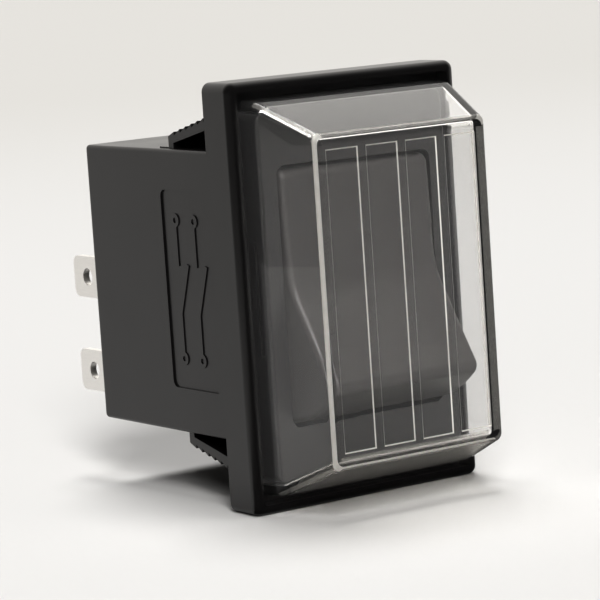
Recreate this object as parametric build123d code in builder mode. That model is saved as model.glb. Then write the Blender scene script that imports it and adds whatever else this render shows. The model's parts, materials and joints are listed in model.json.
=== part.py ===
from build123d import *
import math
import os

# Panel-mount rocker switch, double pole, with a clear splash hood over its rocker.
# The origin is the centre of the bezel's back face, which sits on the panel.
# X runs across the bezel, Y runs back into the panel and Z runs up the bezel.
# The rocker is drawn in its "on" position: upper end pushed in, lower end out.

# Bezel, in millimetres
bezel_width = 29.9
bezel_height = 46.0
bezel_depth = 4.9
bezel_corner = 1.0
bezel_edge = 0.9
rim_width = 1.1

# Recess behind the rim, and the raised platform inside it
recess_depth = 1.9
recess_corner = 0.4
platform_front = 5.8
platform_corner = 0.9
platform_edge = 0.3

# Clear hood
hood_wall = 1.1
hood_side_gap = 0.45
hood_end_gap = 0.8
hood_shoulder = 6.4
hood_front = 14.4
hood_skirt_draft = 0.4
hood_side_lean = 1.9
hood_end_lean = 3.4
hood_corner = 0.8
hood_inner_corner = 0.35
hood_edge = 0.35
hood_to_platform = 0.35
window_count = 4
window_width = 4.1
window_pitch = 5.12
window_height = 31.8
window_depth = 0.15

# Snap ribs that hold the hood on the platform
snap_rib_length = 12.0
snap_rib_width = 0.4
snap_rib_bite = 0.2
snap_rib_lift = 1.4
snap_rib_clearance = 0.12

# Rocker
rocker_width = 18.9
rocker_radius = 13.7
rocker_waist = 3.5
rocker_pivot_depth = 3.2
rocker_tilt = 17.4
rocker_face_angle = 15.0
rocker_skirt_angle = 103.0
rocker_wall = 1.3
rocker_dish_radius = 7.0
rocker_edge = 0.7
rocker_tip_round = 1.2
rocker_side_gap = 0.3
rocker_end_gap = 0.25
trunnion_radius = 1.5
trunnion_length = 1.3
trunnion_clearance = 0.06
trunnion_end_gap = 0.1
web_thickness = 1.2
web_depth = 4.0

# Box behind the bezel
panel_overhang = 1.55
body_depth = 27.5
body_wall = 1.3
body_inner_gap = 0.6
body_edge = 0.4
body_rear_edge = 0.7

# Serrated snap-in arms above and below the box
arm_side_inset = 0.8
arm_root = 10.9
arm_post = 0.95
arm_root_rise = 1.3
arm_slope = 0.268
arm_thickness = 1.25
arm_web_rise = 0.6
arm_foot_length = 1.8
arm_foot_rise = 0.15
arm_end = 1.2
tooth_pitch = 1.19
tooth_drop = 0.4

# Sunk marking panel on the left side, with a plain switch symbol raised from its floor
marking_near = 2.7
marking_length = 9.4
marking_height = 21.8
marking_rise = 0.25
marking_sink = 0.2
marking_corner = 0.8
symbol_line = 0.45
symbol_raise = 0.12
symbol_spacing = 3.6
symbol_reach = 7.6
symbol_gap = 2.6
symbol_ring = 0.75
symbol_tilt = 20.0

# Terminals: standard blades 4.75 mm wide and 0.8 mm thick
blade_width = 4.75
blade_thickness = 0.8
blade_reach = 7.65
blade_corner = 0.9
blade_hole_radius = 1.0
blade_hole_from_tip = 2.95
blade_inset = 2.4
blade_bend = 0.6
terminal_pitch = 10.9
plate_margin = 0.4

# Contact bars, one for each pole
pole_spacing = 12.0
bar_pivot_depth = 15.0
bar_swing = 7.0
bar_width = 4.4
bar_thickness = 0.6
bar_wing = 6.6
bar_wing_angle = 16.0
bar_upper_tail = 1.2
bar_lower_tail = 2.2
lug_width = 1.2
lug_side_gap = 0.15
lug_play = 0.1
cradle_plate_offset = 3.0
cradle_horn = 1.8

# Contact rivets
contact_radius = 1.7
contact_thickness = 1.0
contact_edge = 0.25
rivet_shank_radius = 0.8
rivet_tail_radius = 1.2
rivet_tail_thickness = 0.45
rivet_clearance = 0.03
closed_contact_gap = 0.04

# Plungers and their springs
plunger_radius = 1.5
plunger_clearance = 0.08
plunger_to_bar = 0.5
plunger_guided = 3.2
tube_wall = 0.92
tube_reach = 12.5
bore_start = 0.8
spigot_radius = 0.8
spigot_length = 1.7
spring_wire = 0.35
spring_clearance = 0.2
spring_turns = 8
spring_seat_gap = 0.05

# Rear cover that carries the terminals
base_thickness = 2.6
base_seat = 0.3
base_clearance = 0.05
base_setback = 0.2
slot_clearance = 0.1
pillar_inset = 0.15
barrier_thickness = 1.2
barrier_front = 12.9
barrier_end_gap = 0.2

# Sizes that follow from the driving ones
foot_width = bezel_width - 2 * (rim_width + hood_side_gap)
foot_height = bezel_height - 2 * (rim_width + hood_end_gap)
shoulder_width = foot_width - 2 * hood_skirt_draft
shoulder_height = foot_height - hood_skirt_draft
recess_floor = bezel_depth - recess_depth
platform_width = foot_width - 2 * (hood_wall + hood_to_platform)
platform_height = foot_height - 2 * (hood_wall + hood_to_platform)
opening_width = rocker_width + 2 * rocker_side_gap
opening_height = 2 * (rocker_radius + rocker_end_gap)
body_width = bezel_width - 2 * panel_overhang
body_height = opening_height + 2 * (body_inner_gap - rocker_end_gap + body_wall)
inner_width = body_width - 2 * body_wall
inner_height = body_height - 2 * body_wall
pocket_width = inner_width + 2 * base_seat
pocket_height = inner_height + 2 * base_seat
base_width = pocket_width - 2 * base_clearance
base_height = pocket_height - 2 * base_clearance
base_back = body_depth - base_setback
base_front = base_back - base_thickness
terminal_x = body_width / 2 - blade_inset
blade_tip = body_depth + blade_reach
pole_x = pole_spacing / 2
bore_radius = plunger_radius + plunger_clearance
tube_radius = bore_radius + tube_wall
bar_wing_rise = bar_wing * math.tan(math.radians(bar_wing_angle))
rib_tip = platform_width / 2 - snap_rib_bite
symbol_swing = symbol_gap * math.tan(math.radians(symbol_tilt))
symbol_lever = 2 * symbol_gap / math.cos(math.radians(symbol_tilt)) + symbol_line
left_side = Plane(origin=(-body_width / 2, 0, 0), x_dir=(0, -1, 0), z_dir=(-1, 0, 0))

# The plunger's round nose clears the dished bar by the least at about half swing
nose_centre = (
    bar_pivot_depth + rocker_pivot_depth - plunger_radius - bar_thickness / 2 - plunger_to_bar
)
collar_start = tube_reach - plunger_guided


def front_plane(depth):
    """The plane at this distance in front of the panel, facing the user."""
    return Plane.XZ.offset(depth)


def across(x):
    """The upright plane that faces right at this X, with Y to its right and Z up."""
    return Plane.YZ.offset(x)


def turned(axis_y, degrees):
    """The across plane with its origin on an X-axis pivot, turned about that pivot."""
    turn = math.radians(degrees)
    return Plane(
        origin=(0, axis_y, 0),
        x_dir=(0, math.cos(turn), math.sin(turn)),
        z_dir=(1, 0, 0),
    )


def down_the_tubes(distance):
    """The plane square to the rocker's tubes, this far behind its pivot."""
    turn = math.radians(-rocker_tilt)
    inward = Vector(0, math.cos(turn), math.sin(turn))
    return Plane(
        origin=Vector(0, -rocker_pivot_depth, 0) + inward * distance,
        x_dir=(1, 0, 0),
        z_dir=inward,
    )


def rocker_outline(radius, waist):
    """The rocker from the side, in its own frame: X inward from the pivot and Y up.

    The face is a shallow V with a rounded bottom, and the ends are arcs about the pivot.
    """
    slope = math.tan(math.radians(rocker_face_angle))
    spread = 1 + slope**2
    tip_up = (
        math.sqrt(slope**2 * waist**2 - spread * (waist**2 - radius**2)) - slope * waist
    ) / spread
    tip_out = waist + slope * tip_up
    skirt = math.radians(rocker_skirt_angle)
    halfway = (math.atan2(tip_up, tip_out) + skirt) / 2
    skirt_in = -radius * math.cos(skirt)
    skirt_up = radius * math.sin(skirt)
    FilletPolyline((-tip_out, tip_up), (-waist, 0), (-tip_out, -tip_up), radius=rocker_dish_radius)
    for end in (1, -1):
        ThreePointArc(
            (-tip_out, end * tip_up),
            (-radius * math.cos(halfway), end * radius * math.sin(halfway)),
            (skirt_in, end * skirt_up),
        )
    Line((skirt_in, skirt_up), (skirt_in, -skirt_up))


def bar_point(inward, upward):
    """A place given in the level contact bar's own frame, as Y and Z with the contact closed."""
    turn = math.radians(bar_swing)
    return (
        bar_pivot_depth + inward * math.cos(turn) - upward * math.sin(turn),
        inward * math.sin(turn) + upward * math.cos(turn),
    )


rocker_side = turned(-rocker_pivot_depth, -rocker_tilt)

# The lower arm lies upright when closed, so its contact meets the fixed one squarely
closed_arm = bar_point(-bar_wing_rise, -bar_wing)
moving_face = closed_arm[0] + bar_thickness / 2 + contact_thickness
fixed_face = moving_face + closed_contact_gap
load_plate = fixed_face + contact_thickness + blade_thickness / 2
common_plate = bar_pivot_depth + cradle_plate_offset


def hood_section(depth):
    """Width and height of the hood's sloping part at this distance in front of the panel."""
    share = (depth - hood_shoulder) / (hood_front - hood_shoulder)
    return (
        shoulder_width - 2 * hood_side_lean * share,
        shoulder_height - 2 * hood_end_lean * share,
    )


def arm_outline(side):
    """One snap-in arm from the side: its foot, post, serrated back and plain inner face."""
    seat = side * body_height / 2
    rise = side * arm_root_rise
    foot_end = arm_root + arm_foot_length
    points = [
        (foot_end, seat - side * body_wall / 2),
        (foot_end, seat + side * arm_foot_rise),
        (arm_root, seat + side * arm_foot_rise),
        (arm_root, seat + rise),
    ]
    run = arm_root - arm_end
    teeth = int(run / tooth_pitch)
    for tooth in range(1, teeth + 1):
        y = arm_root - tooth * tooth_pitch
        level = seat + rise + side * tooth * tooth_pitch * arm_slope
        points.append((y, level + side * tooth_drop / 2))
        points.append((y, level - side * tooth_drop / 2))
    tip_level = seat + rise + side * run * arm_slope
    points.append((arm_end, tip_level))
    points.append((arm_end, tip_level - side * arm_thickness))
    inner_root = arm_root - arm_post
    points.append((inner_root, seat + side * arm_web_rise))
    points.append((inner_root, seat - side * body_wall / 2))
    Polyline(*points, close=True)


with BuildPart() as housing:
    # Bezel plate with its rounded front edge
    with BuildSketch(front_plane(0)):
        RectangleRounded(bezel_width, bezel_height, bezel_corner)
    extrude(amount=bezel_depth)
    fillet(housing.faces().sort_by(Axis.Y)[0].edges(), bezel_edge)

    # Recess for the hood's foot
    with BuildSketch(front_plane(bezel_depth)):
        RectangleRounded(
            bezel_width - 2 * rim_width, bezel_height - 2 * rim_width, recess_corner
        )
    extrude(amount=-recess_depth, mode=Mode.SUBTRACT)

    # Raised platform around the rocker
    with BuildSketch(front_plane(recess_floor)):
        RectangleRounded(platform_width, platform_height, platform_corner)
    extrude(amount=platform_front - recess_floor)
    fillet(housing.faces().sort_by(Axis.Y)[0].edges(), platform_edge)

    # Box behind the panel
    with BuildSketch(front_plane(0)):
        RectangleRounded(body_width, body_height, body_edge)
    extrude(amount=-body_depth)
    fillet(housing.faces().sort_by(Axis.Y)[-1].edges(), body_rear_edge)

    # Snap-in arms above and below the box
    for arm_side in (1, -1):
        with BuildSketch(Plane.YZ):
            with BuildLine():
                arm_outline(arm_side)
            make_face()
        extrude(amount=body_width / 2 - arm_side_inset, both=True)

    # Inside of the box, and the pocket for the rear cover
    with BuildSketch(front_plane(0)):
        Rectangle(inner_width, inner_height)
    extrude(amount=-body_depth, mode=Mode.SUBTRACT)
    with BuildSketch(front_plane(-base_front)):
        Rectangle(pocket_width, pocket_height)
    extrude(amount=-(body_depth - base_front), mode=Mode.SUBTRACT)

    # Opening for the rocker
    with BuildSketch(front_plane(platform_front)):
        RectangleRounded(opening_width, opening_height, rocker_edge + rocker_side_gap)
    extrude(amount=-platform_front, mode=Mode.SUBTRACT)

    # Blind sockets for the rocker's trunnions
    with BuildSketch(across(0)):
        with Locations((-rocker_pivot_depth, 0)):
            Circle(trunnion_radius + trunnion_clearance)
    extrude(
        amount=rocker_width / 2 + trunnion_length + trunnion_end_gap,
        both=True,
        mode=Mode.SUBTRACT,
    )

    # Grooves on the platform's long sides for the hood's snap ribs
    for groove_side in (1, -1):
        with BuildSketch(across(groove_side * (rib_tip - snap_rib_clearance))):
            with Locations((-(recess_floor + snap_rib_lift), 0)):
                Rectangle(
                    snap_rib_width + 2 * snap_rib_clearance,
                    snap_rib_length + 2 * snap_rib_clearance,
                )
        extrude(amount=groove_side * hood_to_platform, mode=Mode.SUBTRACT)

    # Sunk marking panel on the left side, with a plain double-pole switch symbol
    with BuildSketch(left_side):
        with Locations((-(marking_near + marking_length / 2), marking_rise)):
            RectangleRounded(marking_length, marking_height, marking_corner)
    extrude(amount=-marking_sink, mode=Mode.SUBTRACT)
    with BuildSketch(left_side.offset(-marking_sink)):
        for pole in (-1, 1):
            middle = -(marking_near + marking_length / 2) + pole * symbol_spacing / 2
            centre = middle - symbol_swing / 2
            lead = symbol_reach - symbol_ring + symbol_line / 2 - symbol_gap
            for end in (-1, 1):
                with Locations((centre, marking_rise + end * symbol_reach)):
                    Circle(symbol_ring)
                    Circle(symbol_ring - symbol_line, mode=Mode.SUBTRACT)
                with Locations((centre, marking_rise + end * (symbol_gap + lead / 2))):
                    Rectangle(symbol_line, lead)
            with Locations((centre + symbol_swing, marking_rise)):
                Rectangle(symbol_line, symbol_lever, rotation=-symbol_tilt)
    extrude(amount=symbol_raise)


with BuildPart() as splash_hood:
    # Skirt that stands in the bezel's recess, then the sloping part up to the front
    for inset, corner, mode in (
        (0, hood_corner, Mode.ADD),
        (hood_wall, hood_inner_corner, Mode.SUBTRACT),
    ):
        front = hood_front - inset
        front_size = hood_section(front)
        with BuildSketch(front_plane(recess_floor)):
            RectangleRounded(foot_width - 2 * inset, foot_height - 2 * inset, corner)
        with BuildSketch(front_plane(hood_shoulder)):
            RectangleRounded(shoulder_width - 2 * inset, shoulder_height - 2 * inset, corner)
        loft(ruled=True, mode=mode)
        with BuildSketch(front_plane(hood_shoulder)):
            RectangleRounded(shoulder_width - 2 * inset, shoulder_height - 2 * inset, corner)
        with BuildSketch(front_plane(front)):
            RectangleRounded(front_size[0] - 2 * inset, front_size[1] - 2 * inset, corner)
        loft(ruled=True, mode=mode)
        if inset == 0:
            fillet(splash_hood.faces().sort_by(Axis.Y)[0].edges(), hood_edge)

    # Shallow oblong windows pressed into the front
    with BuildSketch(front_plane(hood_front)):
        with GridLocations(window_pitch, 0, window_count, 1):
            Rectangle(window_width, window_height)
    extrude(amount=-window_depth, mode=Mode.SUBTRACT)

    # Snap ribs inside the skirt's long sides
    for rib_side in (1, -1):
        with BuildSketch(across(rib_side * rib_tip)):
            with Locations((-(recess_floor + snap_rib_lift), 0)):
                Rectangle(snap_rib_width, snap_rib_length)
        extrude(amount=rib_side * (foot_width / 2 - hood_wall - rib_tip))


with BuildPart() as rocker:
    # Solid actuator: dished face, round ends and a straight back edge
    with BuildSketch(rocker_side) as rocker_profile:
        with BuildLine():
            rocker_outline(rocker_radius, rocker_waist)
        make_face()
        fillet(rocker_profile.vertices(Select.ALL).group_by(Axis.X)[0], rocker_tip_round)
    extrude(amount=rocker_width / 2, both=True)
    skirt_line = -rocker_radius * math.cos(math.radians(rocker_skirt_angle))
    for flank in (rocker.faces().sort_by(Axis.X)[0], rocker.faces().sort_by(Axis.X)[-1]):
        around = flank.edges().filter_by(
            lambda edge: rocker_side.to_local_coords(edge.center()).X < skirt_line - rocker_edge
        )
        fillet(around, rocker_edge)

    # Hollow underside
    with BuildSketch(rocker_side):
        with BuildLine():
            rocker_outline(
                rocker_radius - rocker_wall,
                rocker_waist - rocker_wall / math.cos(math.radians(rocker_face_angle)),
            )
        make_face()
        with Locations((skirt_line, 0)):
            Rectangle(
                2 * rocker_wall,
                2 * (rocker_radius - rocker_wall) * math.sin(math.radians(rocker_skirt_angle)),
            )
    extrude(amount=rocker_width / 2 - rocker_wall, both=True, mode=Mode.SUBTRACT)

    # Web across the inside, and the two plunger tubes
    roof = -(rocker_waist - rocker_wall / 2)
    with BuildSketch(rocker_side):
        with Locations(((roof + web_depth) / 2, 0)):
            Rectangle(web_depth - roof, web_thickness)
    extrude(amount=rocker_width / 2 - rocker_wall / 2, both=True)
    with BuildSketch(down_the_tubes(roof)):
        with GridLocations(pole_spacing, 0, 2, 1):
            Circle(tube_radius)
    extrude(amount=tube_reach - roof)
    with BuildSketch(down_the_tubes(bore_start)):
        with GridLocations(pole_spacing, 0, 2, 1):
            Circle(bore_radius)
    extrude(amount=tube_reach - bore_start, mode=Mode.SUBTRACT)

    # Trunnions on both sides
    for trunnion_side in (1, -1):
        with BuildSketch(across(trunnion_side * (rocker_width / 2 - rocker_wall / 2))):
            with Locations((-rocker_pivot_depth, 0)):
                Circle(trunnion_radius)
        extrude(amount=trunnion_side * (rocker_wall / 2 + trunnion_length))


def make_plunger(side):
    """A round-nosed pin with a thin spigot that centres its spring."""
    with BuildPart(down_the_tubes(nose_centre)) as plunger:
        with Locations((side * pole_x, 0, 0)):
            Sphere(plunger_radius)
        with BuildSketch(down_the_tubes(collar_start)):
            with Locations((side * pole_x, 0)):
                Circle(plunger_radius)
        extrude(amount=nose_centre - collar_start)
        with BuildSketch(down_the_tubes(collar_start)):
            with Locations((side * pole_x, 0)):
                Circle(spigot_radius)
        extrude(amount=-spigot_length)
    return plunger.part


def make_spring(side):
    """A plain helix from the tube's blind end to the plunger's collar."""
    start = bore_start + spring_seat_gap + spring_wire / 2
    length = collar_start - spring_seat_gap - spring_wire / 2 - start
    coil_radius = bore_radius - spring_clearance - spring_wire / 2
    base = down_the_tubes(start)
    axis_foot = base.from_local_coords(Vector(side * pole_x, 0, 0))
    with BuildPart() as spring:
        with BuildLine() as coil:
            Helix(
                pitch=length / spring_turns,
                height=length,
                radius=coil_radius,
                center=axis_foot,
                direction=base.z_dir,
            )
        with BuildSketch(Plane(origin=coil.line @ 0, z_dir=coil.line % 0)):
            Circle(spring_wire / 2)
        sweep(is_frenet=True)
    return spring.part


def make_contact_bar(side):
    """A dished strip that seesaws on two side lugs, drawn with its lower contact closed."""
    upper_wing = bar_point(-bar_wing_rise, bar_wing)
    upper_end = bar_point(-bar_wing_rise, bar_wing + bar_upper_tail)
    lower_end = (closed_arm[0], -(terminal_pitch + bar_lower_tail))
    with BuildPart() as bar:
        with BuildSketch(across(side * pole_x)):
            with BuildLine():
                FilletPolyline(
                    lower_end,
                    closed_arm,
                    (bar_pivot_depth, 0),
                    upper_wing,
                    upper_end,
                    radius=2 * bar_thickness,
                )
            trace(line_width=bar_thickness)
        extrude(amount=bar_width / 2, both=True)
        with BuildSketch(turned(bar_pivot_depth, bar_swing).offset(side * pole_x)):
            Rectangle(bar_thickness, lug_width)
        extrude(amount=bar_width / 2 + lug_side_gap + blade_thickness, both=True)
        with BuildSketch(front_plane(-closed_arm[0])):
            with Locations((side * pole_x, -terminal_pitch)):
                Circle(rivet_shank_radius + rivet_clearance)
        extrude(amount=bar_thickness, both=True, mode=Mode.SUBTRACT)
    return bar.part


def make_rivet(side, face, towards_user):
    """A contact rivet: head, shank through its carrier and a set tail on the other side."""
    carrier = bar_thickness if towards_user < 0 else blade_thickness
    with BuildPart() as rivet:
        with BuildSketch(front_plane(-face)):
            with Locations((side * pole_x, -terminal_pitch)):
                Circle(contact_radius)
        extrude(amount=-towards_user * contact_thickness)
        fillet(
            rivet.edges().group_by(Axis.Y)[0 if towards_user > 0 else -1],
            contact_edge,
        )
        under_head = face + towards_user * contact_thickness
        with BuildSketch(front_plane(-under_head)):
            with Locations((side * pole_x, -terminal_pitch)):
                Circle(rivet_shank_radius)
        extrude(amount=-towards_user * carrier)
        with BuildSketch(front_plane(-(under_head + towards_user * carrier))):
            with Locations((side * pole_x, -terminal_pitch)):
                Circle(rivet_tail_radius)
        extrude(amount=-towards_user * rivet_tail_thickness)
    return rivet.part


def finish_blade(strip, height):
    """Round the corners of a blade's tip and punch its solder hole."""
    with BuildPart() as terminal:
        add(strip)
        fillet(terminal.edges().filter_by(Axis.X).group_by(Axis.Y)[-1], blade_corner)
        with BuildSketch(across(0)):
            with Locations((blade_tip - blade_hole_from_tip, height)):
                Circle(blade_hole_radius)
        extrude(amount=body_width, both=True, mode=Mode.SUBTRACT)
    return terminal.part


def make_load_terminal(side):
    """A strip bent once: a plate for the fixed contact, then the blade out through the cover."""
    with BuildPart() as strip:
        with BuildSketch(Plane.XY.offset(-terminal_pitch)):
            with BuildLine():
                FilletPolyline(
                    (side * (pole_x - contact_radius - plate_margin), load_plate),
                    (side * terminal_x, load_plate),
                    (side * terminal_x, blade_tip),
                    radius=blade_bend + blade_thickness / 2,
                )
            trace(line_width=blade_thickness)
        extrude(amount=blade_width / 2, both=True)
        with BuildSketch(front_plane(-load_plate)):
            with Locations((side * pole_x, -terminal_pitch)):
                Circle(rivet_shank_radius + rivet_clearance)
        extrude(amount=blade_thickness, both=True, mode=Mode.SUBTRACT)
    return finish_blade(strip.part, -terminal_pitch)


def make_common_terminal(side):
    """A strip with two notched ears that cradle the contact bar's lugs, and a blade."""
    ear_offset = bar_width / 2 + lug_side_gap + blade_thickness / 2
    ear_front = bar_pivot_depth - cradle_horn
    notch_floor = bar_pivot_depth + bar_thickness / 2 + lug_play
    with BuildPart() as strip:
        with BuildSketch(Plane.XY):
            with BuildLine():
                FilletPolyline(
                    (side * (pole_x - ear_offset), ear_front),
                    (side * (pole_x - ear_offset), common_plate),
                    (side * terminal_x, common_plate),
                    (side * terminal_x, blade_tip),
                    radius=blade_bend + blade_thickness / 2,
                )
            trace(line_width=blade_thickness)
        extrude(amount=blade_width / 2, both=True)
        with BuildSketch(Plane.XY):
            with BuildLine():
                Polyline(
                    (side * (pole_x + ear_offset), ear_front),
                    (side * (pole_x + ear_offset), common_plate),
                )
            trace(line_width=blade_thickness)
        extrude(amount=blade_width / 2, both=True)
        with BuildSketch(across(side * (pole_x - ear_offset - blade_thickness))):
            with Locations(((ear_front + notch_floor) / 2, 0)):
                Rectangle(notch_floor - ear_front, lug_width + 3 * lug_play)
        extrude(amount=side * 2 * (ear_offset + blade_thickness), mode=Mode.SUBTRACT)
    return finish_blade(strip.part, 0)


with BuildPart() as terminal_base:
    # Plate that closes the back of the box
    with BuildSketch(front_plane(-base_front)):
        Rectangle(base_width, base_height)
    extrude(amount=-base_thickness)

    # Barrier between the poles
    with BuildSketch(front_plane(-barrier_front)):
        Rectangle(barrier_thickness, inner_height - 2 * barrier_end_gap)
    extrude(amount=-(base_front - barrier_front))

    # Pillars that carry the terminals' plates, with room for the rivets' tails
    for pole in (-1, 1):
        for plate, height in ((load_plate, -terminal_pitch), (common_plate, 0)):
            seat = plate + blade_thickness / 2
            with BuildSketch(front_plane(-seat)):
                with Locations((pole * pole_x, height)):
                    Rectangle(bar_width, blade_width - 2 * pillar_inset)
            extrude(amount=-(base_front - seat))
        with BuildSketch(front_plane(-load_plate)):
            with Locations((pole * pole_x, -terminal_pitch)):
                Circle(rivet_tail_radius + slot_clearance)
        extrude(
            amount=-(blade_thickness / 2 + rivet_tail_thickness + slot_clearance),
            mode=Mode.SUBTRACT,
        )

    # Slots that the blades pass through
    with BuildSketch(front_plane(-base_front)):
        for height in (0, -terminal_pitch):
            for pole in (-1, 1):
                with Locations((pole * terminal_x, height)):
                    Rectangle(
                        blade_thickness + 2 * slot_clearance,
                        blade_width + 2 * slot_clearance,
                    )
    extrude(amount=-base_thickness, mode=Mode.SUBTRACT)


pieces = {
    "housing": housing.part,
    "splash_hood": splash_hood.part,
    "rocker": rocker.part,
    "terminal_base": terminal_base.part,
}
for side_name, side in (("left", -1), ("right", 1)):
    pieces[f"plunger_{side_name}"] = make_plunger(side)
    pieces[f"spring_{side_name}"] = make_spring(side)
    pieces[f"contact_bar_{side_name}"] = make_contact_bar(side)
    pieces[f"moving_contact_{side_name}"] = make_rivet(side, moving_face, -1)
    pieces[f"fixed_contact_{side_name}"] = make_rivet(side, fixed_face, 1)
    pieces[f"terminal_common_{side_name}"] = make_common_terminal(side)
    pieces[f"terminal_load_{side_name}"] = make_load_terminal(side)

os.makedirs("parts", exist_ok=True)
for node_name, piece in pieces.items():
    piece.label = node_name
    export_step(piece, f"parts/{node_name}.step")
    print(node_name, "volume", round(piece.volume, 2), "solids", len(piece.solids()))
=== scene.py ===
# %% [markdown]
# # A rocker switch under a clear splash hood
#
# This lesson dresses a panel-mount rocker switch. The moulded parts arrive as a finished frame of solids,
# so most of the work is in the finishes: satin black nylon, a fine matt rocker, tin-plated blades and,
# above all, a clear moulded hood that bends the light at every edge.
# The hood is made again here as one smooth surface, because a clear part shows each facet of its mesh.

# %% Load the frame
import json

import bmesh
import bpy
import numpy as np
from mathutils import Matrix, Vector


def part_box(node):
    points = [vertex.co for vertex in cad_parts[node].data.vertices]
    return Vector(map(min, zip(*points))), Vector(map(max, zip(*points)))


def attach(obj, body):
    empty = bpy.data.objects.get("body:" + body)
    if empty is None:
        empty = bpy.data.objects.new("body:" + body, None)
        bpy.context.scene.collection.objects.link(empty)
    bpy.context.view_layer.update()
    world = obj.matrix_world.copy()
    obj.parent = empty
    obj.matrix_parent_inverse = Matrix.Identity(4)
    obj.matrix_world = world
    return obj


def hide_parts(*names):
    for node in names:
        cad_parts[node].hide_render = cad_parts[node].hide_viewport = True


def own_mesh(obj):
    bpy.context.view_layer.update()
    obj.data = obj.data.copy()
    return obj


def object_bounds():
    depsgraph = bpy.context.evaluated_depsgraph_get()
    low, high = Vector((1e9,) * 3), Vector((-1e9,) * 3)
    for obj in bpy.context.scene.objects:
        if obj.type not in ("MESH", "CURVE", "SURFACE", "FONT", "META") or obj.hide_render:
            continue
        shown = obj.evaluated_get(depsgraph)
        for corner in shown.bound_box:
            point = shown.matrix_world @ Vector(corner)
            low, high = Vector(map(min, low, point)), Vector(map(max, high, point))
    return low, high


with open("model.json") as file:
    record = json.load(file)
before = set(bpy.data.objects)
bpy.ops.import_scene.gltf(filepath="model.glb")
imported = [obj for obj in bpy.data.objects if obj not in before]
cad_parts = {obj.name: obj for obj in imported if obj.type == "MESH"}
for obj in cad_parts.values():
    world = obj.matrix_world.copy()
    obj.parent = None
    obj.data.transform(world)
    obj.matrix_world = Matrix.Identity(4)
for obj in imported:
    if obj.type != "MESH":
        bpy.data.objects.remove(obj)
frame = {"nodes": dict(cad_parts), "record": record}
cad_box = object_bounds()
nodes = frame["nodes"]
print("nodes in the frame:", len(nodes))

MM = 0.001
BOTH_SIDES = ("left", "right")


# %% [markdown]
# ## Small helpers for node materials
#
# Every finish below is a node tree. Three helpers keep them short: one starts a material, one adds a node
# and sets its values, and one gives a piece of the frame its material.

# %% Material helpers
def new_material(name):
    """An empty node material with its output, and the tree to build it in."""
    material = bpy.data.materials.new(name)
    material.use_nodes = True
    tree = material.node_tree
    tree.nodes.clear()
    output = tree.nodes.new("ShaderNodeOutputMaterial")
    return material, tree, output


def add_node(tree, kind, **values):
    """One node of this kind, with its input sockets or its own settings set by name."""
    node = tree.nodes.new(kind)
    for name, value in values.items():
        socket_name = name.replace("_", " ")
        if socket_name in node.inputs:
            node.inputs[socket_name].default_value = value
        else:
            setattr(node, name, value)
    return node


def dress(node_name, material):
    """Give a frame node one material in place of the plain one it arrived with."""
    piece = nodes[node_name]
    piece.data.materials.clear()
    piece.data.materials.append(material)


# %% [markdown]
# ## Moulded black nylon
#
# The housing is moulded in a spark-eroded tool, which leaves a fine even grain. Seen from close by, the
# grain breaks the gloss into a soft sheen. A small noise drives the bump, and a larger and much weaker
# one changes the colour and the roughness a little, as handling and the flow of the plastic do.

# %% Moulded plastic
CLOUD_GRAINS = 60
CLOUD_TINT = 0.14
CLOUD_SMOOTHER = 0.05
CLOUD_ROUGHER = 0.07


def moulded_plastic(name, colour, roughness, grain_size, grain_height, specular):
    """Satin plastic: a grain in the bump, and slow changes in its colour and gloss."""
    material, tree, output = new_material(name)
    place = tree.nodes.new("ShaderNodeTexCoord")
    grain = add_node(tree, "ShaderNodeTexNoise", Scale=1 / grain_size, Detail=2.0, Roughness=0.6)
    cloud_size = CLOUD_GRAINS * grain_size
    cloud = add_node(tree, "ShaderNodeTexNoise", Scale=1 / cloud_size, Detail=3.0, Roughness=0.5)
    bump = add_node(tree, "ShaderNodeBump", Strength=0.5, Distance=grain_height)
    gloss = add_node(tree, "ShaderNodeMapRange")
    gloss.inputs["To Min"].default_value = roughness - CLOUD_SMOOTHER
    gloss.inputs["To Max"].default_value = roughness + CLOUD_ROUGHER
    tint = add_node(tree, "ShaderNodeMixRGB")
    tint.inputs["Color1"].default_value = (*[(1 - CLOUD_TINT) * part for part in colour], 1)
    tint.inputs["Color2"].default_value = (*[(1 + CLOUD_TINT) * part for part in colour], 1)
    shader = tree.nodes.new("ShaderNodeBsdfPrincipled")
    shader.inputs["Specular IOR Level"].default_value = specular
    tree.links.new(place.outputs["Object"], grain.inputs["Vector"])
    tree.links.new(place.outputs["Object"], cloud.inputs["Vector"])
    tree.links.new(grain.outputs["Fac"], bump.inputs["Height"])
    tree.links.new(cloud.outputs["Fac"], gloss.inputs["Value"])
    tree.links.new(cloud.outputs["Fac"], tint.inputs["Fac"])
    tree.links.new(tint.outputs["Color"], shader.inputs["Base Color"])
    tree.links.new(gloss.outputs["Result"], shader.inputs["Roughness"])
    tree.links.new(bump.outputs["Normal"], shader.inputs["Normal"])
    tree.links.new(shader.outputs["BSDF"], output.inputs["Surface"])
    return material


black_nylon = moulded_plastic(
    "black_nylon", (0.0125, 0.0116, 0.0116), roughness=0.3, grain_size=0.12 * MM,
    grain_height=0.004 * MM, specular=0.94,
)
black_rocker = moulded_plastic(
    "black_rocker", (0.045, 0.0425, 0.0415), roughness=0.4, grain_size=0.12 * MM,
    grain_height=0.004 * MM, specular=0.7,
)
white_nylon = moulded_plastic(
    "white_nylon", (0.72, 0.71, 0.67), roughness=0.4, grain_size=0.2 * MM,
    grain_height=0.005 * MM, specular=0.5,
)
dress("housing", black_nylon)
dress("terminal_base", black_nylon)
dress("rocker", black_rocker)
for side in BOTH_SIDES:
    dress(f"plunger_{side}", white_nylon)
print("plastic finishes:", black_nylon.name, black_rocker.name, white_nylon.name)


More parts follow.
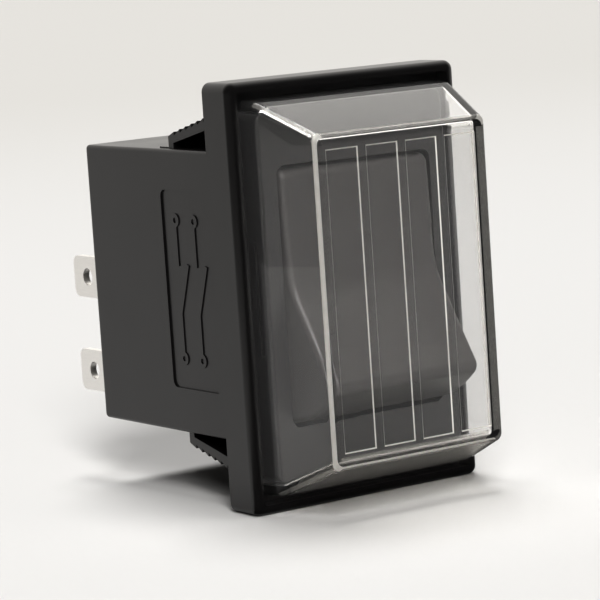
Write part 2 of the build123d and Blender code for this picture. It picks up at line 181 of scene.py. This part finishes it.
# %% [markdown]
# ## Metals
#
# The blades are brass strip with a dull tin plating: pale, with fine marks along the strip from rolling.
# The seesaw bars are bare brass, the contact rivets are silver, and the springs are bright steel wire.
# A noise stretched along one axis gives rolled strip its fine lines.

# %% Rolled and drawn metal
LINE_SHADE = 0.9
LINE_SMOOTHER = 0.06
LINE_ROUGHER = 0.12
ALONG_DEPTH = (1, 0.08, 1)
ALONG_HEIGHT = (1, 1, 0.08)
EVEN = (1, 1, 1)


def worked_metal(name, colour, roughness, along, mark_size, mark_depth):
    """Metal with fine lines along one axis, given as a stretch for each axis of the object."""
    material, tree, output = new_material(name)
    place = tree.nodes.new("ShaderNodeTexCoord")
    stretch = tree.nodes.new("ShaderNodeMapping")
    stretch.inputs["Scale"].default_value = along
    lines = add_node(tree, "ShaderNodeTexNoise", Scale=1 / mark_size, Detail=4.0, Roughness=0.65)
    bump = add_node(tree, "ShaderNodeBump", Strength=0.4, Distance=mark_depth)
    gloss = add_node(tree, "ShaderNodeMapRange")
    gloss.inputs["To Min"].default_value = roughness - LINE_SMOOTHER
    gloss.inputs["To Max"].default_value = roughness + LINE_ROUGHER
    tint = add_node(tree, "ShaderNodeMixRGB")
    tint.inputs["Color1"].default_value = (*[LINE_SHADE * part for part in colour], 1)
    tint.inputs["Color2"].default_value = (*colour, 1)
    shader = tree.nodes.new("ShaderNodeBsdfPrincipled")
    shader.inputs["Metallic"].default_value = 1.0
    tree.links.new(place.outputs["Object"], stretch.inputs["Vector"])
    tree.links.new(stretch.outputs["Vector"], lines.inputs["Vector"])
    tree.links.new(lines.outputs["Fac"], bump.inputs["Height"])
    tree.links.new(lines.outputs["Fac"], gloss.inputs["Value"])
    tree.links.new(lines.outputs["Fac"], tint.inputs["Fac"])
    tree.links.new(tint.outputs["Color"], shader.inputs["Base Color"])
    tree.links.new(gloss.outputs["Result"], shader.inputs["Roughness"])
    tree.links.new(bump.outputs["Normal"], shader.inputs["Normal"])
    tree.links.new(shader.outputs["BSDF"], output.inputs["Surface"])
    return material


tinned_brass = worked_metal(
    "tinned_brass", (0.93, 0.915, 0.89), roughness=0.36, along=ALONG_DEPTH,
    mark_size=0.2 * MM, mark_depth=0.006 * MM,
)
bare_brass = worked_metal(
    "bare_brass", (0.78, 0.57, 0.28), roughness=0.3, along=ALONG_HEIGHT,
    mark_size=0.2 * MM, mark_depth=0.006 * MM,
)
contact_silver = worked_metal(
    "contact_silver", (0.9, 0.89, 0.86), roughness=0.26, along=EVEN,
    mark_size=0.4 * MM, mark_depth=0.004 * MM,
)
spring_steel = worked_metal(
    "spring_steel", (0.62, 0.62, 0.62), roughness=0.25, along=EVEN,
    mark_size=0.3 * MM, mark_depth=0.003 * MM,
)
for side in BOTH_SIDES:
    dress(f"terminal_common_{side}", tinned_brass)
    dress(f"terminal_load_{side}", tinned_brass)
    dress(f"contact_bar_{side}", bare_brass)
    dress(f"moving_contact_{side}", contact_silver)
    dress(f"fixed_contact_{side}", contact_silver)
print("metal finishes:", tinned_brass.name, bare_brass.name, contact_silver.name, spring_steel.name)


# %% [markdown]
# ## Clear moulded plastic
#
# The hood is clear and glossy. A shader that bends light does nearly everything, as long as the wall has
# a real thickness. Bent light from a lamp is hard to trace through a curved shell, so for shadow rays
# alone the shader steps aside and lets the lamp through. What the camera sees is still bent.

# %% Clear plastic
CLEAR_TINT = (1.0, 0.998, 0.994, 1)
CLEAR_IOR = 1.43
LAMP_TINT = (0.94, 0.935, 0.925, 1)


def clear_plastic(name, clearness, roughness):
    """A bending, mirroring surface that lets lamps shine through, with a little haze in its skin."""
    material, tree, output = new_material(name)
    shader = tree.nodes.new("ShaderNodeBsdfPrincipled")
    shader.inputs["Base Color"].default_value = CLEAR_TINT
    shader.inputs["Transmission Weight"].default_value = clearness
    shader.inputs["Roughness"].default_value = roughness
    shader.inputs["IOR"].default_value = CLEAR_IOR
    through = tree.nodes.new("ShaderNodeBsdfTransparent")
    through.inputs["Color"].default_value = LAMP_TINT
    ray = tree.nodes.new("ShaderNodeLightPath")
    choose = tree.nodes.new("ShaderNodeMixShader")
    tree.links.new(ray.outputs["Is Shadow Ray"], choose.inputs["Fac"])
    tree.links.new(shader.outputs["BSDF"], choose.inputs[1])
    tree.links.new(through.outputs["BSDF"], choose.inputs[2])
    tree.links.new(choose.outputs["Shader"], output.inputs["Surface"])
    return material


clear_hood = clear_plastic("clear_hood", clearness=0.98, roughness=0.0)
print("clear finish:", clear_hood.name)


# %% [markdown]
# ## Painted glow on the edges of a clear part
#
# Light that enters a clear wall runs along inside it and comes out at its edges, where a moulded corner
# scatters it. That is why such a part has pale glowing edges. Tracing that light takes far too long, so the
# glow is painted onto the edges with two finishes of their own. One is half clear and half a pale colour
# that paints a bright glow, and the other paints a faint glow and is mostly clear.

# %% Painted edge glow
# The dim and the pale colour paint the glow of the light that leaves the edges; a noise mixes them.
PAINTED_GLOW_DIM = (0.74, 0.72, 0.68, 1)
PAINTED_GLOW_PALE = (0.88, 0.86, 0.82, 1)
EDGE_NOISE_SCALE = 900.0
EDGE_IOR = 1.49


def painted_glow_finish(name, clearness, roughness):
    """Clear plastic with a painted glow: part of the light goes through, the rest is a pale colour."""
    material, tree, output = new_material(name)
    place = tree.nodes.new("ShaderNodeTexCoord")
    flow = add_node(tree, "ShaderNodeTexNoise", Scale=EDGE_NOISE_SCALE, Detail=2.0, Roughness=0.5)
    tint = add_node(tree, "ShaderNodeMixRGB")
    tint.inputs["Color1"].default_value = PAINTED_GLOW_DIM
    tint.inputs["Color2"].default_value = PAINTED_GLOW_PALE
    shader = tree.nodes.new("ShaderNodeBsdfPrincipled")
    shader.inputs["Transmission Weight"].default_value = clearness
    shader.inputs["Roughness"].default_value = roughness
    shader.inputs["IOR"].default_value = EDGE_IOR
    tree.links.new(place.outputs["Object"], flow.inputs["Vector"])
    tree.links.new(flow.outputs["Fac"], tint.inputs["Fac"])
    tree.links.new(tint.outputs["Color"], shader.inputs["Base Color"])
    tree.links.new(shader.outputs["BSDF"], output.inputs["Surface"])
    return material


# Both finishes paint the glow: the first a bright one, the second a faint one that is mostly clear.
painted_glow_edge = painted_glow_finish("painted_glow_edge", clearness=0.5, roughness=0.35)
painted_faint_glow_edge = painted_glow_finish("painted_faint_glow_edge", clearness=0.82, roughness=0.25)
print("edge finishes:", painted_glow_edge.name, painted_faint_glow_edge.name)


# %% [markdown]
# ## The hood as rings
#
# The hood is a shell whose every section, cut parallel to the panel, is a rectangle with rounded corners.
# A ring is one such section, and the shell is a stack of rings. The stack starts inside at the front, runs
# back to the foot, turns to the outside there and comes forward again to the front. Each ring has the same
# number of points, so neighbours join with plain quads. The rings are closer together where the profile
# turns.

# %% Sizes of the hood
hood_low, hood_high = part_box("splash_hood")
foot = -hood_high.y
front = -hood_low.y
foot_half = np.array([hood_high.x, hood_high.z])
shoulder = 6.4 * MM
wall = 1.1 * MM
skirt_draft = np.array([0.4, 0.2]) * MM
lean = np.array([1.9, 3.4]) * MM
corner_radius = 0.8 * MM
inner_corner_radius = 0.35 * MM
shoulder_round = 0.5 * MM
inner_shoulder_round = 0.4 * MM
edge_round = 0.35 * MM
inner_edge_round = 0.5 * MM
shoulder_half = foot_half - skirt_draft
front_half = shoulder_half - lean
window_count = 4
window_width = 4.1 * MM
window_pitch = 5.12 * MM
window_height = 31.8 * MM
window_depth = 0.08 * MM
step_slope = 0.15 * MM
# The steps on the left of each window are narrower, so their painted glow draws fainter lines.
left_step_slope = 0.1 * MM
print("hood foot", foot, "front", front, "front half sizes", front_half)


# %% Rounded rectangle sections
CORNER_STEPS = 8


def window_breaks():
    """Places along a short and a long side where the windows' edges meet the front's rim."""
    centres = (np.arange(window_count) - (window_count - 1) / 2) * window_pitch
    across = np.sort(np.concatenate([centres - window_width / 2, centres + window_width / 2]))
    upright = np.array([-window_height / 2, window_height / 2])
    return across, upright


def ring(half, radius):
    """A rounded rectangle as points (x, z), anticlockwise from the lower right corner.

    Each corner is a quarter circle. Each side between them also has a point for every window edge.
    """
    across, upright = window_breaks()
    turn = np.linspace(0, np.pi / 2, CORNER_STEPS + 1)
    corners = [(1, -1, -np.pi / 2), (1, 1, 0.0), (-1, 1, np.pi / 2), (-1, -1, np.pi)]
    sides = [
        np.stack([np.full(len(upright), half[0]), upright], axis=1),
        np.stack([across[::-1], np.full(len(across), half[1])], axis=1),
        np.stack([np.full(len(upright), -half[0]), upright[::-1]], axis=1),
        np.stack([across, np.full(len(across), -half[1])], axis=1),
    ]
    runs = []
    for (right, up, start), side in zip(corners, sides):
        middle = np.array([right * (half[0] - radius), up * (half[1] - radius)])
        arc = middle + radius * np.stack([np.cos(start + turn), np.sin(start + turn)], axis=1)
        runs += [arc, side]
    return np.concatenate(runs)


def at_depth(points, depth):
    """Ring points (x, z) set at this distance in front of the panel, as (x, y, z)."""
    return np.stack([points[:, 0], np.full(len(points), -depth), points[:, 1]], axis=1)


print("points in a ring:", len(ring(front_half, corner_radius)))


# %% [markdown]
# ## The outside profile
#
# Seen in section, the outside is a drafted skirt, a soft turn at the shoulder, a sloping side and a rounded
# front edge. The same profile serves the short and the long sides, with its own lean for each.
# A turn between two straight runs is a quadratic curve whose control point is the sharp corner.

# %% Profile rings
SHOULDER_RINGS = 7
EDGE_RINGS = 9


def soft_turn(before, at, after, steps):
    """Points of a quadratic curve from before to after, pulled towards the sharp corner at."""
    t = np.linspace(0, 1, steps)[:, None]
    return (1 - t) ** 2 * before + 2 * t * (1 - t) * at + t**2 * after


def towards(start, end, distance):
    """The point at this distance from start on the way to end."""
    way = end - start
    return start + way * distance / np.linalg.norm(way)


def profile(foot_size, shoulder_size, front_size, depths, low_round, high_round):
    """Rows of (half width, half height, depth): the foot, the shoulder's turn and the front edge's turn."""
    low = np.array([*foot_size, depths[0]])
    turn = np.array([*shoulder_size, depths[1]])
    high = np.array([*front_size, depths[2]])
    flat = np.array([front_size[0] - high_round, front_size[1] - high_round, depths[2]])
    below, above = towards(turn, low, low_round), towards(turn, high, low_round)
    shoulder_rows = soft_turn(below, turn, above, SHOULDER_RINGS)
    edge_rows = soft_turn(towards(high, turn, high_round), high, flat, EDGE_RINGS)
    return np.concatenate([low[None], shoulder_rows, edge_rows])


outer_depths = (foot, shoulder, front)
outer_rows = profile(foot_half, shoulder_half, front_half, outer_depths, shoulder_round, edge_round)
print("outer profile rows:", len(outer_rows))


# %% [markdown]
# ## The inside profile
#
# The inside follows the outside at the wall's thickness, with tighter corners, and its front is flat.

# %% Inside rings
inner_front = front - wall
slope_share = (inner_front - shoulder) / (front - shoulder)
inner_front_half = shoulder_half - lean * slope_share - wall
inner_depths = (foot, shoulder, inner_front)
inner_rows = profile(
    foot_half - wall, shoulder_half - wall, inner_front_half, inner_depths,
    inner_shoulder_round, inner_edge_round,
)
print("inner front half sizes:", inner_front_half)


# %% [markdown]
# ## The front with its four windows
#
# Four tall oblongs are pressed into the front, a step so shallow that only its edges show as bright lines.
# The front is a grid whose lines run along the window edges. Cells inside a window are set back, and a
# sloping step joins them to the rest. Each face also gets the number of its finish: the steps get the
# painted glow, which paints those bright lines.

# %% Front face grid
# Finish numbers: clear plastic, the bright painted glow and the faint painted glow.
CLEAR, PAINTED_GLOW, FAINT_PAINTED_GLOW = 0, 1, 2


def front_face(half, depth):
    """Vertices, quads and finishes of the front inside its rim, with the four windows set back."""
    across, upright = window_breaks()
    xs = np.concatenate([[-half[0]], across, [half[0]]])
    zs = np.concatenate([[-half[1]], upright, [half[1]]])
    grid_x, grid_z = np.meshgrid(xs, zs, indexing="ij")
    verts = np.stack([grid_x.ravel(), np.full(grid_x.size, -depth), grid_z.ravel()], axis=1)
    columns, rows = len(xs), len(zs)
    y = window_depth - depth
    quads = []
    finishes = []
    sunk = []
    for column in range(columns - 1):
        for row in range(rows - 1):
            left, right = column * rows + row, (column + 1) * rows + row
            cell = (left, right, right + 1, left + 1)
            in_window = row == 1 and column % 2 == 1
            if not in_window:
                quads.append(cell)
                finishes.append(CLEAR)
                continue
            base = len(verts) + len(sunk)
            x0, x1 = xs[column] + left_step_slope, xs[column + 1] - step_slope
            z0, z1 = zs[row] + step_slope, zs[row + 1] - step_slope
            sunk += [(x0, y, z0), (x1, y, z0), (x1, y, z1), (x0, y, z1)]
            for step in range(4):
                after = (step + 1) % 4
                quads.append((cell[step], cell[after], base + after, base + step))
                finishes.append(PAINTED_GLOW)
            quads.append((base, base + 1, base + 2, base + 3))
            finishes.append(CLEAR)
    return np.concatenate([verts, np.array(sunk)]), quads, finishes


face_half = front_half - edge_round - corner_radius
face_verts, face_quads, face_finishes = front_face(face_half, front)
print("front face quads:", len(face_quads))


# %% [markdown]
# ## Closing the shell
#
# All rings are stacked in one array. The front's rim is one more ring with a corner radius of zero, where
# the points of each quarter circle fall together, so it meets the grid exactly once doubles are merged.
# One large face closes the inside at the front.

# %% Build the hood
def strip_quads(first, second, count):
    """Quads that join two rings, given the index of each ring's first point."""
    steps = np.arange(count)
    after = (steps + 1) % count
    return np.stack([first + steps, first + after, second + after, second + steps], axis=1)


outer_rings = [at_depth(ring(row[:2], corner_radius), row[2]) for row in outer_rows]
square_rim = at_depth(ring(face_half, 0.0), front)
inner_rings = [at_depth(ring(row[:2], inner_corner_radius), row[2]) for row in inner_rows]
rings = inner_rings[::-1] + outer_rings + [square_rim]
count = len(square_rim)
stacked = np.concatenate(rings)
strips = [strip_quads(i * count, (i + 1) * count, count) for i in range(len(rings) - 1)]
wall_faces = np.concatenate(strips).tolist()
ceiling = [list(range(count))[::-1]]
front_quads = [[len(stacked) + i for i in quad] for quad in face_quads]

mesh = bpy.data.meshes.new("clear_hood_shell")
mesh.from_pydata(np.concatenate([stacked, face_verts]).tolist(), [], wall_faces + ceiling + front_quads)
mesh.update()


# %% [markdown]
# ## Which faces get the painted glow
#
# A strip lies between two rings, and a column between two points of a ring. The first strips turn round
# the inside edge of the front. The last strip is the flat rim, and the ones before it turn round the
# outside edge. Before those come the slope and the upper part of the shoulder's turn. Columns start at the
# lower right corner and go on anticlockwise, as the points of a ring do.

# %% Mark the faces with painted glow
EDGE_STRIPS = EDGE_RINGS - 1
SLOPE_STRIPS = 5
LIP_STRIPS = 3
CORNER_MARGIN = 2
RIM = -1
across, upright = window_breaks()
side_points = [len(upright), len(across), len(upright), len(across)]
corner_start = np.cumsum([0] + [CORNER_STEPS + 1 + points for points in side_points])
right_side, top_side, _, bottom_side = [
    slice(start + CORNER_STEPS, end) for start, end in zip(corner_start[:4], corner_start[1:])
]
inner_edge = slice(0, EDGE_STRIPS)
outer_edge = slice(RIM - EDGE_STRIPS, RIM)
outer_slope = slice(RIM - EDGE_STRIPS - SLOPE_STRIPS, RIM - EDGE_STRIPS)
lip = slice(RIM - LIP_STRIPS, RIM)

# The bright painted glow goes on the edges that look brightest under this light: the outside edge's upper
# corners, its left side and its lower left corner, and the lip along the bottom. The other marked edges get
# the faint painted glow.
finish = np.full((len(rings) - 1, count), CLEAR)
finish[inner_edge, right_side] = FAINT_PAINTED_GLOW
finish[RIM, right_side] = FAINT_PAINTED_GLOW
finish[inner_edge, bottom_side] = FAINT_PAINTED_GLOW
finish[outer_edge, :corner_start[1]] = FAINT_PAINTED_GLOW
finish[outer_edge, corner_start[1]:] = PAINTED_GLOW
finish[outer_edge, top_side] = FAINT_PAINTED_GLOW
finish[outer_edge, bottom_side] = FAINT_PAINTED_GLOW
finish[lip, bottom_side] = PAINTED_GLOW
finish[outer_slope, bottom_side] = FAINT_PAINTED_GLOW
for start in corner_start[:4]:
    finish[outer_slope, start + CORNER_MARGIN:start + CORNER_STEPS - CORNER_MARGIN] = FAINT_PAINTED_GLOW
all_finishes = np.concatenate([finish.ravel(), [CLEAR], face_finishes])
mesh.polygons.foreach_set("material_index", all_finishes.astype(np.int32))
print("faces clear, glowing, veiled:", np.bincount(all_finishes))


# %% Merge and turn the faces outwards
MERGE_DISTANCE = 0.001 * MM
SHARP_ANGLE = np.radians(18)


def tidy_mesh(mesh, merge_distance):
    """Merge doubled points, drop collapsed faces and point every face outwards."""
    work = bmesh.new()
    work.from_mesh(mesh)
    bmesh.ops.remove_doubles(work, verts=work.verts, dist=merge_distance)
    bmesh.ops.dissolve_degenerate(work, edges=work.edges, dist=merge_distance)
    bmesh.ops.recalc_face_normals(work, faces=work.faces)
    open_edges = sum(1 for line in work.edges if len(line.link_faces) != 2)
    work.to_mesh(mesh)
    work.free()
    return open_edges


print("open edges in the hood:", tidy_mesh(mesh, MERGE_DISTANCE))
hood = bpy.data.objects.new("clear_hood", mesh)
bpy.context.scene.collection.objects.link(hood)
hood.data.materials.append(clear_hood)
hood.data.materials.append(painted_glow_edge)
hood.data.materials.append(painted_faint_glow_edge)
hood.data.shade_smooth()
hood.data.set_sharp_from_angle(angle=SHARP_ANGLE)
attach(hood, "body")
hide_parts("splash_hood")
print("hood faces:", len(mesh.polygons))


# %% [markdown]
# ## Coil springs
#
# A coil spring stands behind each plunger, deep in the rocker's tube. When the plunger slides in, the real
# spring closes up, and a rigid copy would cut into the plunger. Here each spring is made again as a wire
# carried along a helix, with a mesh of its own, and hung on the rocker. Its place and length come from
# the solid that it replaces.

# %% Coil springs
SPRING_TURNS = 8
SPRING_WIRE = 0.35 * MM
STEPS_PER_TURN = 20
WIRE_POINTS = 8


def coil_mesh(name, start, way, length, radius):
    """A helix with a round wire: along the axis in step with the turn, and round it at one radius."""
    across = np.array([1.0, 0.0, 0.0])
    other = np.cross(way, across)
    share = np.linspace(0, 1, SPRING_TURNS * STEPS_PER_TURN + 1)[:, None]
    turn = 2 * np.pi * SPRING_TURNS * share
    outwards = np.cos(turn) * across + np.sin(turn) * other
    path = start + way * length * share + radius * outwards
    tangent = np.gradient(path, axis=0)
    tangent /= np.linalg.norm(tangent, axis=1, keepdims=True)
    sideways = np.cross(tangent, outwards)
    angle = np.linspace(0, 2 * np.pi, WIRE_POINTS, endpoint=False)[None, :, None]
    around = np.cos(angle) * outwards[:, None] + np.sin(angle) * sideways[:, None]
    wire = (path[:, None] + SPRING_WIRE / 2 * around).reshape(-1, 3)
    firsts = range(0, len(wire) - WIRE_POINTS, WIRE_POINTS)
    joins = [strip_quads(first, first + WIRE_POINTS, WIRE_POINTS) for first in firsts]
    ends = [list(range(WIRE_POINTS)), list(range(len(wire) - WIRE_POINTS, len(wire)))]
    mesh = bpy.data.meshes.new(name)
    mesh.from_pydata(wire.tolist(), [], np.concatenate(joins).tolist() + ends)
    tidy_mesh(mesh, MERGE_DISTANCE / 10)
    return mesh


def spring(side):
    """The spring of one side, measured on its solid along the way that the plunger slides."""
    joint_name = f"plunger_{side}_slide"
    joint = next(j for j in frame["record"]["behaviour"]["joints"] if j["name"] == joint_name)
    way = -np.array(joint["axis"])
    fixed_end = np.array(joint["deforming_nodes"][0]["fixed_end_m"])
    solid = nodes[f"spring_{side}"].data
    points = np.array([vertex.co for vertex in solid.vertices]) - fixed_end
    along = points @ way
    from_axis = np.linalg.norm(points - along[:, None] * way, axis=1)
    wire_half = SPRING_WIRE / 2
    start = fixed_end + way * (along.min() + wire_half)
    length = along.max() - along.min() - SPRING_WIRE
    wire = coil_mesh(f"coil_{side}", start, way, length, from_axis.max() - wire_half)
    coil = bpy.data.objects.new(f"coil_{side}", wire)
    bpy.context.scene.collection.objects.link(coil)
    coil.data.materials.append(spring_steel)
    coil.data.shade_smooth()
    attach(coil, "rocker")
    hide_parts(f"spring_{side}")
    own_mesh(coil)


for side in BOTH_SIDES:
    spring(side)


# %% [markdown]
# ## Floor and soft studio light
#
# The switch stands on a pale seamless floor. Two soft lamps stand behind the camera, one above the other,
# and act as one tall strip of light. A third hangs high behind the switch. Together they give the floor its
# two soft shadows, one under the box and one along the front. None of them shows in reflections: the gloss
# of black plastic comes from the surroundings further down, which are easier to place.

# %% Floor
FLOOR_REACH = 3.0
# From and to which distance from the switch the painted shade on the paper grows, in metres.
SHADE_FADE_FROM = 0.15
SHADE_FADE_TO = 0.8
PAPER_NEAR = (0.66, 0.652, 0.64, 1)
PAPER_IN_PAINTED_SHADE = (0.605, 0.593, 0.571, 1)
floor_level = cad_box[0][2]
floor_corners = [(-1, -1), (1, -1), (1, 1), (-1, 1)]
floor_mesh = bpy.data.meshes.new("floor")
floor_mesh.from_pydata(
    [(x * FLOOR_REACH, y * FLOOR_REACH, floor_level) for x, y in floor_corners], [], [(0, 1, 2, 3)]
)
floor = bpy.data.objects.new("floor", floor_mesh)
bpy.context.scene.collection.objects.link(floor)

# Painted shade: the paper's colour darkens a little with its distance from the switch, where the light
# falls off.
paper, tree, output = new_material("seamless_paper")
place = tree.nodes.new("ShaderNodeTexCoord")
distance = add_node(tree, "ShaderNodeVectorMath", operation="LENGTH")
painted_falloff = add_node(tree, "ShaderNodeMapRange", interpolation_type="SMOOTHSTEP")
painted_falloff.inputs["From Min"].default_value = SHADE_FADE_FROM
painted_falloff.inputs["From Max"].default_value = SHADE_FADE_TO
tint = add_node(tree, "ShaderNodeMixRGB")
tint.inputs["Color1"].default_value = PAPER_NEAR
tint.inputs["Color2"].default_value = PAPER_IN_PAINTED_SHADE
shader = tree.nodes.new("ShaderNodeBsdfPrincipled")
shader.inputs["Roughness"].default_value = 0.6
shader.inputs["Specular IOR Level"].default_value = 0.0
tree.links.new(place.outputs["Object"], distance.inputs[0])
tree.links.new(distance.outputs["Value"], painted_falloff.inputs["Value"])
tree.links.new(painted_falloff.outputs["Result"], tint.inputs["Fac"])
tree.links.new(tint.outputs["Color"], shader.inputs["Base Color"])
tree.links.new(shader.outputs["BSDF"], output.inputs["Surface"])
floor.data.materials.append(paper)
print("floor at", round(floor_level / MM, 2), "mm")


# %% Lamps
def soft_sun(name, azimuth, elevation, spread, strength):
    """A far soft lamp. Azimuth turns from +Y (behind the panel) to +X, and spread is how wide it looks."""
    lamp = bpy.data.lights.new(name, "SUN")
    lamp.angle = np.radians(spread)
    lamp.energy = strength
    holder = bpy.data.objects.new(name, lamp)
    turn, rise = np.radians([azimuth, elevation])
    way = Vector((np.sin(turn) * np.cos(rise), np.cos(turn) * np.cos(rise), np.sin(rise)))
    holder.rotation_euler = way.to_track_quat("Z", "Y").to_euler()
    holder.visible_glossy = False
    bpy.context.scene.collection.objects.link(holder)
    return holder


lamps = [
    soft_sun("upper_key", azimuth=210, elevation=48, spread=20, strength=1.55),
    soft_sun("lower_key", azimuth=211, elevation=30, spread=20, strength=1.75),
    soft_sun("top_lamp", azimuth=26, elevation=71, spread=26, strength=2.4),
]
print("lamps:", [lamp.name for lamp in lamps])


# %% [markdown]
# ## Surroundings
#
# Black plastic shows hardly any colour of its own: what the eye sees is its surroundings, mirrored and
# blurred. So the surroundings matter more than the lamps. A pale backdrop stands behind the switch and a
# soft panel hangs high at the back right, while the rest of the room is dark. The sky here is a smooth
# function of direction: pale where it points to the back, brightest towards the panel, dark elsewhere.
# What the camera sees directly beyond the floor is as pale as the floor's far end, so no horizon shows.
# Matt surfaces get next to nothing from the sky, because the lamps light them.

# %% Sky
SKY_COLOUR = (1.0, 0.98, 0.945, 1)
TO_BACKDROP = (0.567, 0.823, 0.0)
TO_PANEL = (0.56, 0.475, 0.676)
ROOM_STRENGTH = 0.04
BACKDROP_STRENGTH = 1.15
PANEL_STRENGTH = 1.38
STRENGTH_FOR_CAMERA = 0.838
STRENGTH_FOR_MATT = 0.02

world = bpy.data.worlds.new("studio")
world.use_nodes = True
tree = world.node_tree
background = tree.nodes["Background"]
way = tree.nodes.new("ShaderNodeTexCoord")
ray = tree.nodes.new("ShaderNodeLightPath")


def sky_area(direction, start, end, low, high):
    """A value that rises smoothly from low to high as a ray turns towards the direction."""
    closeness = add_node(tree, "ShaderNodeVectorMath", operation="DOT_PRODUCT")
    closeness.inputs[1].default_value = direction
    rise = add_node(tree, "ShaderNodeMapRange", interpolation_type="SMOOTHSTEP")
    rise.inputs["From Min"].default_value = start
    rise.inputs["From Max"].default_value = end
    rise.inputs["To Min"].default_value = low
    rise.inputs["To Max"].default_value = high
    tree.links.new(way.outputs["Generated"], closeness.inputs[0])
    tree.links.new(closeness.outputs["Value"], rise.inputs["Value"])
    return rise.outputs["Result"]


def change_to(value, where, rest):
    """This value where the second output is one, and the third output elsewhere."""
    mix = tree.nodes.new("ShaderNodeMix")
    mix.inputs["B"].default_value = value
    tree.links.new(where, mix.inputs["Factor"])
    tree.links.new(rest, mix.inputs["A"])
    return mix.outputs["Result"]


strength = sky_area(TO_BACKDROP, -0.1, 0.45, ROOM_STRENGTH, BACKDROP_STRENGTH)
strength = change_to(PANEL_STRENGTH, sky_area(TO_PANEL, 0.8, 0.96, 0.0, 1.0), strength)
strength = change_to(STRENGTH_FOR_CAMERA, ray.outputs["Is Camera Ray"], strength)
strength = change_to(STRENGTH_FOR_MATT, ray.outputs["Is Diffuse Ray"], strength)
tree.links.new(strength, background.inputs["Strength"])
background.inputs["Color"].default_value = SKY_COLOUR
bpy.context.scene.world = world
print("sky:", world.name)


# %% [markdown]
# ## How the picture is developed
#
# The plain view transform keeps the tones as they are traced. A gamma under one then deepens them, the
# blacks much more than the pale floor. Light has to pass many surfaces inside a clear shell, so it may
# bounce often.

# %% View and bounces
DEEPEN = 0.72
MOST_BOUNCES = 48
MOST_CLEAR_BOUNCES = 24
bpy.context.scene.view_settings.view_transform = "Standard"
bpy.context.scene.view_settings.gamma = DEEPEN
bpy.context.scene.cycles.max_bounces = MOST_BOUNCES
bpy.context.scene.cycles.glossy_bounces = MOST_BOUNCES
bpy.context.scene.cycles.transmission_bounces = MOST_CLEAR_BOUNCES
print("gamma:", DEEPEN)


# %% [markdown]
# ## Black cards
#
# Photographers stand black cards beside a glossy object to give it dark edges. One bent card stands on the
# floor here, round the left and the front, in a spiral arc that is carried straight up. A flat one lies in
# front. They show only in reflections: the camera, the lamps and the floor don't see them.

# %% Black cards
CARD_STEPS = 49
STANDING_GAP = 0.2 * MM
LYING_GAP = 0.3 * MM

card_black, tree, output = new_material("card_black")
shader = tree.nodes.new("ShaderNodeBsdfDiffuse")
shader.inputs["Color"].default_value = (0.01, 0.01, 0.01, 1)
tree.links.new(shader.outputs["BSDF"], output.inputs["Surface"])


def reflected_card(name, points, quads):
    """A black card that only reflections see."""
    card_mesh = bpy.data.meshes.new(name)
    card_mesh.from_pydata(points, [], quads)
    card = bpy.data.objects.new(name, card_mesh)
    bpy.context.scene.collection.objects.link(card)
    card.data.materials.append(card_black)
    card.visible_camera = False
    card.visible_diffuse = False
    card.visible_shadow = False
    card.visible_transmission = False
    return card


def bent_card(name, start, stop, near, far, height):
    """A card on the floor along a spiral arc: angles from the back (+Y) round to the left, in degrees."""
    angle = np.radians(np.linspace(start, stop, CARD_STEPS))
    reach_out = np.linspace(far, near, CARD_STEPS)
    foot_line = np.stack([-np.sin(angle) * reach_out, np.cos(angle) * reach_out], axis=1)
    low = np.column_stack([foot_line, np.full(CARD_STEPS, floor_level + STANDING_GAP)])
    high = np.column_stack([foot_line, np.full(CARD_STEPS, floor_level + height)])
    along = np.arange(CARD_STEPS - 1)
    quads = np.stack([along, along + 1, along + 1 + CARD_STEPS, along + CARD_STEPS], axis=1)
    return reflected_card(name, np.concatenate([low, high]).tolist(), quads.tolist())


def lying_card(name, corners):
    """A flat four-sided card just above the floor."""
    return reflected_card(name, [(x, y, floor_level + LYING_GAP) for x, y in corners], [(0, 1, 2, 3)])


cards = [
    bent_card("black_card", 50, 235, near=0.11, far=0.24, height=0.14),
    lying_card("front_card", [(-0.05, -0.004), (0.12, -0.004), (0.22, -0.2), (-0.1, -0.2)]),
]
print("cards:", [card.name for card in cards])


# %% [markdown]
# ## The camera
#
# The camera stands where the photographer's did: a little above the switch and to its left, far enough away
# for the upright edges to stay nearly parallel, with a small roll that leans the whole object to the left.

# %% Camera
AZIMUTH = np.radians(-34.56)
ELEVATION = np.radians(7.45)
ROLL = np.radians(-3.85)
DISTANCE = 336.0 * MM
FOCAL_PIXELS = 3091.0
IMAGE_SIZE = 600
ORIGIN_PIXEL = (330.7, 282.3)
SENSOR = 36.0
NEAREST_SEEN = 10 * MM

back = np.array([
    np.sin(AZIMUTH) * np.cos(ELEVATION), -np.cos(AZIMUTH) * np.cos(ELEVATION), np.sin(ELEVATION),
])
level_right = np.array([np.cos(AZIMUTH), np.sin(AZIMUTH), 0.0])
level_up = np.cross(back, level_right)
right = np.cos(ROLL) * level_right + np.sin(ROLL) * level_up
up = -np.sin(ROLL) * level_right + np.cos(ROLL) * level_up
offset_right = (ORIGIN_PIXEL[0] - IMAGE_SIZE / 2) / FOCAL_PIXELS * DISTANCE
offset_up = (IMAGE_SIZE / 2 - ORIGIN_PIXEL[1]) / FOCAL_PIXELS * DISTANCE
eye = back * DISTANCE - right * offset_right - up * offset_up

camera_data = bpy.data.cameras.new("camera")
camera_data.sensor_width = SENSOR
camera_data.lens = FOCAL_PIXELS * SENSOR / IMAGE_SIZE
camera_data.clip_start = NEAREST_SEEN
camera = bpy.data.objects.new("camera", camera_data)
turn = Matrix(np.stack([right, up, back], axis=1).tolist()).to_4x4()
camera.matrix_world = Matrix.Translation(Vector(eye)) @ turn
bpy.context.scene.collection.objects.link(camera)
bpy.context.scene.camera = camera
print("camera at", eye.round(4), "lens", round(camera_data.lens, 1))
